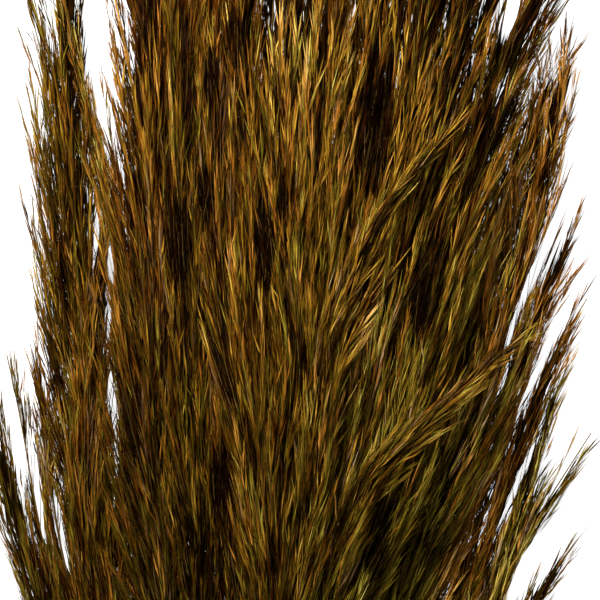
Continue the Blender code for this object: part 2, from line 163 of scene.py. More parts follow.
def within(marks, at):
    """How far inside the marks each place is: 1 in the middle of one, below 0 outside all.
    The marks are given from the middle of the plumes, so the frame's shift comes off."""
    inside = np.full(len(at), -9.0)
    for mark in marks:
        inside = np.maximum(inside, depth_in(mark, at))
    return inside


class Waves:
    """A smooth random field over space, about -1 to 1."""

    def __init__(self, rng, size, count=14):
        self.k = rng.normal(size=(count, 3)) / size * np.array([1.0, 0.45, 1.0])
        self.p = rng.uniform(0, 2 * math.pi, count)

    def __call__(self, at):
        return np.sin(at @ self.k.T + self.p).sum(-1) / math.sqrt(len(self.p) / 2) * 0.7


class Mesh:
    """Collects triangles with their map places."""

    def __init__(self):
        self.v, self.f, self.uv, self.smooth, self.count = [], [], [], [], 0

    def add(self, verts, faces, uvs, smooth=False):
        """verts (N, k, 3), faces (m, 3) into k, uvs (N, m, 3, 2)."""
        n, k = verts.shape[:2]
        faces = np.asarray(faces)
        index = self.count + np.arange(n)[:, None, None] * k + faces[None]
        self.v.append(verts.reshape(-1, 3))
        self.f.append(index.reshape(-1, 3))
        self.uv.append(np.broadcast_to(uvs, (n, len(faces), 3, 2)).reshape(-1, 2))
        self.smooth.append(np.full(n * len(faces), smooth))
        self.count += n * k

    def build(self, name, material):
        v, f = np.concatenate(self.v), np.concatenate(self.f)
        uv, smooth = np.concatenate(self.uv), np.concatenate(self.smooth)
        v = lifted(v)
        me = bpy.data.meshes.new(name)
        me.vertices.add(len(v))
        me.vertices.foreach_set("co", v.astype(np.float32).ravel())
        me.loops.add(len(f) * 3)
        me.loops.foreach_set("vertex_index", f.astype(np.int32).ravel())
        me.polygons.add(len(f))
        me.polygons.foreach_set("loop_start", np.arange(0, len(f) * 3, 3, dtype=np.int32))
        layer = me.uv_layers.new(name="OFBake")
        layer.data.foreach_set("uv", np.clip(uv, 0.002, 0.998).astype(np.float32).ravel())
        me.polygons.foreach_set("use_smooth", smooth)
        me.update(calc_edges=True)
        me.validate()
        me.materials.append(material)
        obj = bpy.data.objects.new(name, me)
        bpy.context.scene.collection.objects.link(obj)
        return obj


def tube(mesh, line, radii, sides, uv_of, smooth=True, twist=None, closed=False):
    """A tube along line. uv_of(k, j) gives the map place of ring k, side edge j."""
    n = len(line)
    if closed:
        t = unit(np.roll(line, -1, 0) - np.roll(line, 1, 0))
    else:
        t = unit(np.gradient(line, axis=0))
    a, b = sideways(t)
    for k in range(1, n):  # carry the frame along without spinning
        a[k] = a[k - 1] - t[k] * (a[k - 1] @ t[k])
        a[k] /= np.linalg.norm(a[k])
        b[k] = np.cross(t[k], a[k])
    turn = 2 * math.pi * np.arange(sides) / sides
    if twist is not None:
        turn = turn[None] + np.asarray(twist)[:, None]
    else:
        turn = np.broadcast_to(turn, (n, sides))
    ring = np.cos(turn)[:, :, None] * a[:, None] + np.sin(turn)[:, :, None] * b[:, None]
    verts = line[:, None] + ring * np.asarray(radii).reshape(n, -1, 1)
    faces, uvs = [], []
    for k in range(n if closed else n - 1):
        for j in range(sides):
            m, i = (k + 1) % n, (j + 1) % sides
            p, q, r, s = k * sides + j, k * sides + i, m * sides + i, m * sides + j
            up, uq, ur, us = uv_of(k, j), uv_of(k, j + 1), uv_of(k + 1, j + 1), uv_of(k + 1, j)
            faces += [(p, q, r), (p, r, s)]
            uvs += [(up, uq, ur), (up, ur, us)]
    mesh.add(verts.reshape(1, -1, 3), faces, np.array(uvs)[None], smooth)
    return verts


# ---- each reed's line, from its CAD node ---------------------------------------
def course_of(node):
    """The middle and the radius of every section of a CAD reed, cut end first."""
    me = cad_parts[node].data
    co = np.empty(len(me.vertices) * 3)
    me.vertices.foreach_get("co", co)
    places, index = np.unique(np.round(co.reshape(-1, 3), 6), axis=0, return_inverse=True)
    index = index.ravel()
    ends = np.empty(len(me.edges) * 2, np.int32)
    me.edges.foreach_get("vertices", ends)
    ends = index[ends].reshape(-1, 2)
    near = [set() for _ in places]
    for p, q in ends:
        if p != q:
            near[p].add(q)
            near[q].add(p)
    start = places[places[:, 1].argmin()]
    ring = set(np.flatnonzero(np.linalg.norm(places - start, axis=1) < 10 * MM))
    seen, rings = set(ring), [ring]
    while True:
        ring = set().union(*[near[k] for k in ring]) - seen
        if not ring:
            break
        seen |= ring
        rings.append(ring)
    middle = np.array([places[list(r)].mean(0) for r in rings])
    radius = np.array([np.linalg.norm(places[list(r)] - m, axis=1).mean() for r, m in zip(rings, middle)])
    return middle, radius


def eased(knots, values, at):
    """A smooth curve through values at knots, read at `at`."""
    h = np.diff(knots)
    slope = np.diff(values, axis=0) / h[:, None]
    m = np.empty_like(values)
    m[1:-1] = (slope[:-1] * h[1:, None] + slope[1:] * h[:-1, None]) / (h[1:] + h[:-1])[:, None]
    m[0], m[-1] = 1.5 * slope[0] - 0.5 * m[1], 1.5 * slope[-1] - 0.5 * m[-2]
    k = np.clip(np.searchsorted(knots, at) - 1, 0, len(h) - 1)
    t = ((at - knots[k]) / h[k])[:, None]
    hh = h[k][:, None]
    return ((2 * t**3 - 3 * t**2 + 1) * values[k] + (t**3 - 2 * t**2 + t) * hh * m[k]
            + (3 * t**2 - 2 * t**3) * values[k + 1] + (t**3 - t**2) * hh * m[k + 1])


class Line:
    """A reed's middle line by the distance along it, with two directions across."""

    def __init__(self, node):
        mid, self.radius = course_of(node)
        self.knots = np.concatenate([[0], np.cumsum(np.linalg.norm(np.diff(mid, axis=0), axis=1))])
        self.neck, self.tip = self.knots[5], self.knots[-1]
        s = np.linspace(0, self.tip, 460)
        p = eased(self.knots, mid, s)
        t = unit(np.gradient(p, axis=0))
        more = np.linspace(2, 40, 20) * MM       # straight on past the tip
        p = np.concatenate([p, p[-1] + more[:, None] * t[-1]])
        s = np.concatenate([s, self.tip + more])
        t = unit(np.gradient(p, s, axis=0))
        a, b = sideways(t)
        self.s, self.p, self.t, self.a, self.b = s, p, t, a, b

    def read(self, table, s):
        return np.stack([np.interp(s, self.s, table[:, k]) for k in range(3)], -1)

    def at(self, s):
        return self.read(self.p, s)

    def across(self, s, turn):
        a, b = self.read(self.a, s), self.read(self.b, s)
        return np.cos(turn)[..., None] * a + np.sin(turn)[..., None] * b

    def thick(self, s):
        return np.interp(s, self.knots, self.radius)


# ---- what a reed is made of ------------------------------------------------------
SLIM = np.array([(0, 2, 1), (0, 3, 2), (0, 1, 3), (4, 1, 2), (4, 2, 3), (4, 3, 1)])
KEEL = np.array([(0, 2, 1), (3, 1, 2), (0, 1, 3), (0, 3, 2)])


def band_v(family, along):
    return BAND_0 + BAND_STEP * family + BAND_TALL * (0.02 + 0.96 * along)


def spikelets(mesh, base, way, across, length, wide, tone, family, round_one, bend, rng):
    """Many spikelets. across is a direction across way; the tip bends towards it."""
    count = len(base)
    if not count:
        return
    other = np.cross(way, across)
    swell = 0.30 + 0.12 * rng.random(count)
    tip = base + way * length[:, None] + across * (length * bend)[:, None]
    left = np.clip(tone, 0.01, 0.985 - 3 * STRIP)
    u = left[:, None] + STRIP * np.arange(4)
    v0, v1, v3 = (band_v(family, x) for x in (0.0, 0.36, 1.0))

    def corner(j, v, half=False):
        return np.stack([u[:, j] + (STRIP / 2 if half else 0), v], -1)

    belly = base + way * (length * swell)[:, None] + across * (length * bend * 0.15)[:, None]
    if round_one:
        corners = rng.uniform(0, 2 * math.pi, count)[:, None] + np.array([0, 2, 4]) * math.pi / 3
        flat = wide[:, None] / 2 * np.cos(corners), 0.72 * wide[:, None] / 2 * np.sin(corners)
        one = belly[:, None] + flat[0][..., None] * across[:, None] + flat[1][..., None] * other[:, None]
        verts = np.concatenate([base[:, None], one, tip[:, None]], 1)
        uvs = [np.stack([corner(j, v0, True), corner(j + 1, v1), corner(j, v1)], 1) for j in range(3)]
        uvs += [np.stack([corner(j, v3, True), corner(j, v1), corner(j + 1, v1)], 1) for j in range(3)]
        mesh.add(verts, SLIM, np.stack(uvs, 1))
    else:   # one keel runs straight from base to tip
        roll = rng.uniform(0, 2 * math.pi, count)[:, None]
        flat, deep = np.cos(roll) * across + np.sin(roll) * other, np.cos(roll) * other - np.sin(roll) * across
        half = (wide / 2)[:, None]
        p = belly + flat * half + deep * half * 0.8
        q = belly - flat * half + deep * half * 0.8
        verts = np.stack([base, p, q, tip], 1)
        uvs = [np.stack([corner(0, v0, True), corner(1, v1), corner(0, v1)], 1),
               np.stack([corner(0, v3, True), corner(0, v1), corner(1, v1)], 1),
               np.stack([corner(1, v0, True), corner(1, v1), corner(1, v3, True)], 1),
               np.stack([corner(2, v0, True), corner(2, v3, True), corner(3, v1)], 1)]
        mesh.add(verts, KEEL, np.stack(uvs, 1))


FAMILIES = {   # share of gold, rust, olive and mauve
    "reed_golden": (0.56, 0.20, 0.20, 0.04),
    "reed_rust": (0.24, 0.54, 0.13, 0.09),
    "reed_olive": (0.26, 0.16, 0.52, 0.06),
}


def stem(mesh, line, rng, shown):
    """The stem, its nodes and the leaf sheaths round it, and the stalk in the plume."""
    sides = 9 if shown else 7
    total = line.neck
    joints = np.sort((np.array([0.13, 0.36, 0.60, 0.85]) + rng.uniform(-0.05, 0.05, 4)) * total)
    # no node and no sheath under the twine
    tie_s = line.knots[3] * 0.5 + line.knots[4] * 0.5
    for k in range(4):
        if abs(joints[k] - tie_s) < 22 * MM:
            joints[k] = tie_s + (26 * MM if joints[k] > tie_s else -26 * MM)
    stops = [0.0]
    for j in joints:
        stops += [j - 9 * MM, j - 2.2 * MM, j - 0.7 * MM, j, j + 0.8 * MM, j + 2.6 * MM]
    stops += list(np.linspace(0, total, 18)[1:])
    stops = np.unique(np.round(np.clip(stops, 0, total), 5))
    stops = stops[np.concatenate([[True], np.diff(stops) > 0.4 * MM])]
    r = line.thick(stops)
    swell = sum(0.16 * np.exp(-((stops - j) / (1.1 * MM)) ** 2) for j in joints)
    r = r * (0.97 + swell)
    map_s = np.concatenate([[0], joints, [total]])
    map_u = np.concatenate([[0.02], NODE_U, [0.98]])
    u = np.interp(stops, map_s, map_u)
    v = np.linspace(STEM_V[0], STEM_V[1], sides + 1)
    verts = tube(mesh, line.at(stops), r, sides, lambda k, j: (u[k], v[j]))
    # the cut end: a rim round the hollow
    rim = verts[0]
    c = rim.mean(0)
    inward = line.t[0]
    inner = c + (rim - c) * 0.58
    deep = c + (rim - c) * 0.50 + inward * 3 * MM
    pts = np.concatenate([rim, inner, deep, (c + inward * 3 * MM)[None]])
    faces, uvs = [], []
    cu = np.linspace(0.03, 0.30, sides + 1)
    w0, w1, w2, w3 = np.linspace(CUT_V[0], CUT_V[1], 4)
    for j in range(sides):
        i = (j + 1) % sides
        for lo, hi, va, vb in ((0, sides, w0, w1), (sides, 2 * sides, w1, w2)):
            faces += [(lo + i, lo + j, hi + j), (lo + i, hi + j, hi + i)]
            uvs += [((cu[j + 1], va), (cu[j], va), (cu[j], vb)), ((cu[j + 1], va), (cu[j], vb), (cu[j + 1], vb))]
        faces.append((2 * sides + i, 2 * sides + j, 3 * sides))
        uvs.append(((cu[j + 1], w2), (cu[j], w2), ((cu[j] + cu[j + 1]) / 2, w3)))
    mesh.add(pts[None], faces, np.array(uvs)[None], False)
    # sheaths: thin sleeves from the nodes up, open on one side at the top
    for k, j in enumerate(joints):
        up = min(rng.uniform(38, 74) * MM, total - j - 6 * MM)
        if j < tie_s < j + up + 16 * MM:
            up = tie_s - 16 * MM - j
        if up < 14 * MM:
            continue
        cuts = np.array([0, 0.06, 0.35, 0.7, 0.9, 1.0])
        s = j + 1.2 * MM + up * cuts
        p = line.at(s)
        t = unit(np.gradient(p, axis=0))
        a, b = sideways(t)
        turn = rng.uniform(0, 6.28) + np.linspace(0, 2 * math.pi * 0.93, 9)
        spread = np.interp(cuts, (0, 0.06, 0.9, 1.0), (0.0, 0.16, 0.22, 0.45)) * MM
        ragged = rng.uniform(-1, 1, 9) * 4.5 * MM + 5 * MM * np.cos(np.linspace(-math.pi, math.pi, 9))
        out = np.cos(turn)[None, :, None] * a[:, None] + np.sin(turn)[None, :, None] * b[:, None]
        grid = p[:, None] + out * (line.thick(s) * 1.0 + spread)[:, None, None]
        grid[-1] += t[-1] * ragged[:, None]
        grid[-2] += t[-2] * ragged[:, None] * 0.4
        su = np.interp(s, map_s, map_u)
        sv = np.linspace(STEM_V[0], STEM_V[1], 9)
        faces, uvs = [], []
        for m in range(5):
            for i in range(8):
                q = m * 9 + i
                faces += [(q, q + 1, q + 10), (q, q + 10, q + 9)]
                uvs += [((su[m], sv[i]), (su[m], sv[i + 1]), (su[m + 1], sv[i + 1])),
                        ((su[m], sv[i]), (su[m + 1], sv[i + 1]), (su[m + 1], sv[i]))]
        mesh.add(grid.reshape(1, -1, 3), faces, np.array(uvs)[None], True)
    # the stalk inside the plume
    s = np.linspace(total, line.tip - 4 * MM, 20 if shown else 12)
    share = (s - total) / (line.tip - total)
    r = np.interp(share, (0, 0.1, 1.0), (line.radius[5] * 0.97, 0.95 * MM, 0.30 * MM))
    su = np.linspace(0.05, 0.95, len(s))
    sv = np.linspace(BRANCH_V[0], BRANCH_V[1], 6)
    tube(mesh, line.at(s), r, 5, lambda k, j: (su[k], sv[j]))


def plume(mesh, number, line, slot, rng, shown):
    """The branches of one reed and the spikelets on them."""
    tall = line.tip - line.neck
    # the reed's tone; the -0.38 for reeds under the others is painted shade
    tone_0 = 0.535 + TONES.get(number, -0.38)
    slope = SLOPES.get(number, 0.0)
    green = GREENS.get(number, 0.0)
    waves, patches = Waves(rng, 8 * MM), Waves(rng, 30 * MM)
    shares = np.array(FAMILIES[slot])
    fit = FULLNESS.get(number, 1.0)
    widest = line.radius.max() * fit
    slim = widest < 5.6 * MM
    # where the branches end along the plume: more of them where it is thick
    n = int((285 if shown else 120) * tall / (430 * MM) * (0.30 + 0.70 * widest / (9 * MM)))
    grid = np.linspace(0.05, 1.0, 240)
    weight = np.interp(line.neck + grid * tall, line.knots, line.radius) * fit / widest + 0.16
    total = np.cumsum(weight)
    share = np.interp((np.arange(n) + rng.random(n)) / n * total[-1], total, grid)
    end = line.neck + share * tall
    long = np.interp(share, (0.05, 0.3, 0.7, 0.9, 1.0), (44, 88, 84, 56, 30)) * MM * rng.uniform(0.72, 1.18, n)
    if slim:
        long *= 0.80
    s0 = np.maximum(end - long, line.neck - 3 * MM * rng.random(n))
    long = end - s0
    turn = rng.uniform(0, 2 * math.pi) + GOLDEN_ANGLE * np.arange(n) + rng.normal(0, 0.3, n)
    env = np.interp(end, line.knots, line.radius) * fit
    env = env * np.interp(share, (0.55, 0.85, 0.97), (1.0, 1.28, 1.45))
    near_tip = np.clip(env / (4.5 * MM), 0.14, 1.0)
    proud = (1.6 + 3.6 * widest / (9 * MM)) * MM * near_tip
    reach = (env + proud) * rng.random(n) ** 0.42
    # some branches stand off from the rest
    stray = rng.random(n) < (0.25 if not slim else 0.18)
    off = np.where(stray, rng.uniform(2.0, 7.5, n) * MM * np.clip(near_tip * 1.3, 0.35, 1.0), 0.0)
    reach = np.where(stray, (env + proud) * rng.uniform(0.80, 1.0, n), reach)
    sway = rng.normal(0, 0.32 * MM, (n, 2))
    phase = rng.uniform(0, 2 * math.pi, (n, 2))
    drift = rng.normal(0, 0.16, n)
    aside = rng.normal(0, 2.4 * MM, n) * np.clip(near_tip * 1.2, 0.3, 1)

    def path(k, x):
        """The place at share x along branch k."""
        s = s0[k] + long[k] * x
        rho = reach[k] * (1 - np.exp(-2.7 * x)) / (1 - math.exp(-2.7))
        rho = rho + off[k] * np.clip(x, 0, 1.4) ** 2.6
        out = line.across(s, turn[k] + drift[k] * x)
        side = line.across(s, turn[k] + math.pi / 2)
        wob = np.sin(phase[k, 0] + 3.6 * x) * sway[k, 0] * x
        wob = wob + aside[k] * np.clip(x, 0, 1.4) ** 2
        wob2 = np.sin(phase[k, 1] + 3.1 * x) * sway[k, 1] * x
        place = line.at(s) + out * (rho + wob2)[..., None] + side * wob[..., None]
        place[..., 0] += BENT.get(number, 0.0) * MM * np.clip(x, 0, 1.4) ** 1.5
        return place

    # no branch runs through a gap
    ends = path(np.arange(n), np.ones(n))
    half_way = path(np.arange(n), np.full(n, 0.6))
    clear = (within(GAPS, ends) < 0) & (within(GAPS, half_way) < 0)
    # the branches themselves, as thin three-sided stalks
    cuts = np.linspace(0, 1, 5 if shown else 3)
    rows = np.flatnonzero(clear)
    k = np.repeat(rows, len(cuts)).reshape(len(rows), -1)
    x = np.broadcast_to(cuts, k.shape)
    mid = path(k, x)
    t = unit(np.gradient(mid, axis=1))
    a, b = sideways(t)
    thin = np.interp(cuts, (0, 1), (0.27, 0.09)) * MM
    corners = np.array([0, 2, 4]) * math.pi / 3
    ring = np.cos(corners)[:, None] * a[:, :, None] + np.sin(corners)[:, None] * b[:, :, None]
    verts = (mid[:, :, None] + ring * thin[:, None, None]).reshape(len(rows), -1, 3)
    faces, uvs = [], []
    vs = np.linspace(BRANCH_V[0], BRANCH_V[1], 4)
    for m in range(len(cuts) - 1):
        for j in range(3):
            i = (j + 1) % 3
            p, q, r_, s_ = m * 3 + j, m * 3 + i, m * 3 + 3 + i, m * 3 + 3 + j
            faces += [(p, q, r_), (p, r_, s_)]
            c0, c1 = cuts[m] * 0.10, cuts[m + 1] * 0.10
            uvs += [((c0, vs[j]), (c0, vs[j + 1]), (c1, vs[j + 1])), ((c0, vs[j]), (c1, vs[j + 1]), (c1, vs[j]))]
    uvs = np.array(uvs)[None] + np.stack([rng.uniform(0.02, 0.86, len(rows)), np.zeros(len(rows))], -1)[:, None, None]
    mesh.add(verts, faces, uvs, False)

    # spikelets: a slim tuft round the outer part of each branch
    gap = (2.95 if shown else 5.0) * MM
    many = np.maximum(7, (long / gap).astype(int)) - 2 * (near_tip < 0.6)
    many = np.where(stray, np.maximum(many - 3, 6), many)
    many = np.where(clear, many, 0)
    k = np.repeat(np.arange(n), many)
    x = np.concatenate([(np.arange(m) + rng.random(m)) / m for m in many])
    x = 0.14 + 0.84 * x**0.82
    count = len(k)
    own_length = rng.uniform(0.85, 1.15, n)
    length = rng.uniform(11.0, 19.0, count) * MM * own_length[k]
    wide = rng.uniform(0.62, 1.12, count) * MM * (1.0 if shown else 1.3)
    hair = rng.random(count) < (0.06 if shown else 0.0)
    length = np.where(hair, length * 1.35, length)
    wide = np.where(hair, wide * 0.60, wide)
    last = x > 0.90
    wide = np.where(last, wide * 0.78, wide)
    if slim:
        length *= 0.92
    tuft = np.interp(x, (0.1, 0.5, 0.8, 1.0), (0.7, 1.45, 1.15, 0.25)) * MM
    tuft = tuft * np.where(stray[k], 0.45, 1.0)
    azim = rng.uniform(0, 2 * math.pi, count)
    way = unit(path(k, np.minimum(x + 0.05, 1.08)) - path(k, x - 0.05))
    a, b = sideways(way)
    side = np.cos(azim)[:, None] * a + np.sin(azim)[:, None] * b
    lean = np.radians(rng.uniform(0.5, 11.5, count)) * np.where(last, 0.6, 1.0)
    lean = lean * np.where(stray[k], 0.5, 1.0)
    lean = np.where(rng.random(count) < 0.04, np.radians(rng.uniform(11, 24, count)), lean)
    base = path(k, x) + side * (tuft * np.sqrt(rng.random(count)) * 0.8)[:, None]
    way = unit(way * np.cos(lean)[:, None] + side * np.sin(lean)[:, None])
    side = unit(side - way * (side * way).sum(1)[:, None])
    # tones: the reed's own, patches, the branch and the spikelet, with painted shade and painted light added to them
    own = rng.normal(0, 0.108, n)
    # painted shade: spikelets deep inside the plume, close to the stalk, are made darker
    deep = 1 - np.clip((reach[k] * np.minimum(x * 1.3, 1)) / (env[k] + proud[k] + 1e-9), 0, 1)
    tone = tone_0 + 0.08 * waves(base) + 0.085 * patches(base) + own[k] + rng.normal(0, 0.092, count) - 0.36 * deep
    along = (s0[k] + long[k] * x - line.neck) / tall
    # painted shade: darker towards the lower end of each branch's tuft, where the tufts overlap, and towards the base
    # of the plume
    tone = tone + 0.28 * (x - 0.66) + 0.26 * (along - 0.55)
    # painted light and shade along the reed, from SLOPES
    tone = tone + slope * np.clip((700 + SHIFT[1] - base[:, 1] / MM) / 150, -1.2, 1.2)
    tone = np.where(rng.random(count) < 0.13, tone - rng.uniform(0.12, 0.32, count), tone)
    tone = np.where(rng.random(count) < 0.024, tone + rng.uniform(0.10, 0.28, count), tone)
    some = 0.8 + 0.4 * rng.random(count)
    # painted shade and painted light: the SHADES marks darken or lighten the spikelets whose middles lie in them
    for mark in SHADES:
        tone = tone + mark[5] * np.clip((2.4 if mark[5] < 0 else 1.6) * depth_in(mark, base + way * length[:, None] * 0.5), 0, 1) * some
    tone = np.where(tone > 0.60, 0.60 + (tone - 0.60) * 0.82, tone)
    tone = np.clip(tone, 0.012, 0.97)
    kin = rng.choice(4, n, p=shares)
    family = np.where(rng.random(count) < 0.55, kin[k], rng.choice(4, count, p=shares))
    hue = green + TURNING.get(number, 0.34) * (0.42 - along)
    swap = rng.random(count) < 1.3 * np.abs(hue)
    family = np.where(swap, np.where(hue > 0, OLIVE, RUST), family)
    full = rng.random(count) < (0.25 if shown else 0.0)
    tips, middles = base + way * length[:, None], base + way * length[:, None] * 0.5
    kept = (within(GAPS, base) < 0) & (within(GAPS, tips) < 0) & (within(GAPS, middles) < 0)
    for flag in (False, True):
        m = (full == flag) & kept
        spikelets(mesh, base[m], way[m], side[m], length[m], wide[m], tone[m], family[m],
                  flag, rng.uniform(-0.02, 0.06, m.sum()), rng)

    # the short inner spikelets close round the stalk, which the branches shade; their dark tone is painted shade
    m = int((370 if shown else 250) * tall / (430 * MM) * (0.3 + 0.7 * widest / (9 * MM)))
    s = line.neck + tall * (0.02 + 0.88 * (np.arange(m) + rng.random(m)) / m)
    # and more of them high up, where the pale ground would show between thin plumes
    more = FILLED.get(number, 0 if shown else 105)
    s = np.concatenate([s, line.neck + tall * rng.uniform(0.52, 0.92, more)])
    m += more
    azim = rng.uniform(0, 2 * math.pi, m)
    out = line.across(s, azim)
    wrap = np.interp(s, line.knots, line.radius) * fit
    base = line.at(s) + out * (wrap * rng.uniform(0.05, 0.72, m))[:, None]
    way = unit(line.read(line.t, s) + out * rng.uniform(0.02, 0.10, (m, 1)))
    side = unit(out - way * (out * way).sum(1)[:, None])
    kept = (within(GAPS, base) < 0) & (within(GAPS, base + way * 16 * MM) < 0)
    base, way, side, wrap, m = base[kept], way[kept], side[kept], wrap[kept], int(kept.sum())
    # painted shade: their tone is kept dark, about 0.08
    spikelets(mesh, base, way, side, rng.uniform(17, 26, m) * MM, rng.uniform(1.9, 3.0, m) * MM * np.clip(wrap / (5 * MM), 0.3, 1),
              np.clip(rng.normal(0.08, 0.045, m), 0.012, 0.3), rng.choice(4, m, p=shares), False,
              rng.uniform(-0.02, 0.03, m), rng)
    return count + m


# ---- materials ---------------------------------------------------------------------
class Nodes:
    """Short calls for a node tree."""

    def __init__(self, name):
        self.mat = bpy.data.materials.new(name)
        self.mat.use_nodes = True
        self.tree = self.mat.node_tree
        self.tree.nodes.clear()

    def new(self, kind, **settings):
        node = self.tree.nodes.new(kind)
        for key, value in settings.items():
            setattr(node, key, value)
        return node

    def link(self, a, b):
        self.tree.links.new(a, b)

    def put(self, socket, value):
        if isinstance(value, bpy.types.NodeSocket):
            self.link(value, socket)
        else:
            socket.default_value = value

    def math(self, op, a, b=0.0, c=0.0, clamp=False):
        node = self.new("ShaderNodeMath", operation=op, use_clamp=clamp)
        for socket, value in zip(node.inputs, (a, b, c)):
            self.put(socket, value)
        return node.outputs[0]

    def span(self, value, a, b, c, d):
        node = self.new("ShaderNodeMapRange")
        for socket, x in zip(node.inputs[:5], (value, a, b, c, d)):
            self.put(socket, x)
        return node.outputs[0]

    def vector(self, x, y, z=0.0):
        node = self.new("ShaderNodeCombineXYZ")
        for socket, value in zip(node.inputs, (x, y, z)):
            self.put(socket, value)
        return node.outputs[0]

    def noise(self, vector, scale=1.0, detail=2.0, rough=0.5):
        node = self.new("ShaderNodeTexNoise")
        self.put(node.inputs["Vector"], vector)
        node.inputs["Scale"].default_value = scale
        node.inputs["Detail"].default_value = detail
        node.inputs["Roughness"].default_value = rough
        return node.outputs["Fac"]

    def ramp(self, value, stops):
        node = self.new("ShaderNodeValToRGB")
        self.put(node.inputs[0], value)
        while len(node.color_ramp.elements) < len(stops):
            node.color_ramp.elements.new(0.5)
        for element, (at, colour) in zip(node.color_ramp.elements, stops):
            element.position = at
            element.color = (*colour, 1.0)
        return node.outputs[0]

    def mix(self, share, a, b, mode="MIX"):
        node = self.new("ShaderNodeMix", data_type="RGBA", blend_type=mode)
        self.put(node.inputs[0], share)
        for socket, value in zip(node.inputs[6:8], (a, b)):
            self.put(socket, value if isinstance(value, bpy.types.NodeSocket) else (*value, 1.0))
        return node.outputs[2]

    def surface(self, colour, rough, height, strength, distance, sheen=0.0, spec=0.5):
        shader = self.new("ShaderNodeBsdfPrincipled")
        self.put(shader.inputs["Base Color"], colour)
        self.put(shader.inputs["Roughness"], rough)
        shader.inputs["Metallic"].default_value = 0.0
        shader.inputs["Specular IOR Level"].default_value = spec
        shader.inputs["Sheen Weight"].default_value = sheen
        bump = self.new("ShaderNodeBump")
        bump.inputs["Strength"].default_value = strength
        bump.inputs["Distance"].default_value = distance
        self.link(height, bump.inputs["Height"])
        self.link(bump.outputs[0], shader.inputs["Normal"])
        out = self.new("ShaderNodeOutputMaterial")
        self.link(shader.outputs[0], out.inputs["Surface"])
        return self.mat


RAMPS = {
    GOLD: ((0.0, (0.0036, 0.0009, 0.0001)), (0.26, (0.038, 0.0122, 0.0003)), (0.50, (0.180, 0.0825, 0.0040)),
           (0.70, (0.42, 0.218, 0.017)), (0.87, (0.66, 0.388, 0.050)), (1.0, (0.86, 0.58, 0.12))),
    RUST: ((0.0, (0.0038, 0.0006, 0.0001)), (0.26, (0.043, 0.0093, 0.0004)), (0.50, (0.196, 0.0660, 0.0042)),
           (0.70, (0.43, 0.166, 0.018)), (0.87, (0.62, 0.284, 0.050)), (1.0, (0.78, 0.43, 0.12))),
    OLIVE: ((0.0, (0.0023, 0.0012, 0.0001)), (0.26, (0.0236, 0.0137, 0.0004)), (0.50, (0.110, 0.0725, 0.0040)),
            (0.70, (0.248, 0.182, 0.015)), (0.87, (0.40, 0.312, 0.042)), (1.0, (0.56, 0.46, 0.105))),
    MAUVE: ((0.0, (0.0036, 0.0010, 0.0004)), (0.26, (0.038, 0.0125, 0.0042)), (0.50, (0.156, 0.074, 0.028)),
            (0.70, (0.32, 0.175, 0.074)), (0.87, (0.48, 0.30, 0.15)), (1.0, (0.62, 0.44, 0.27))),
}


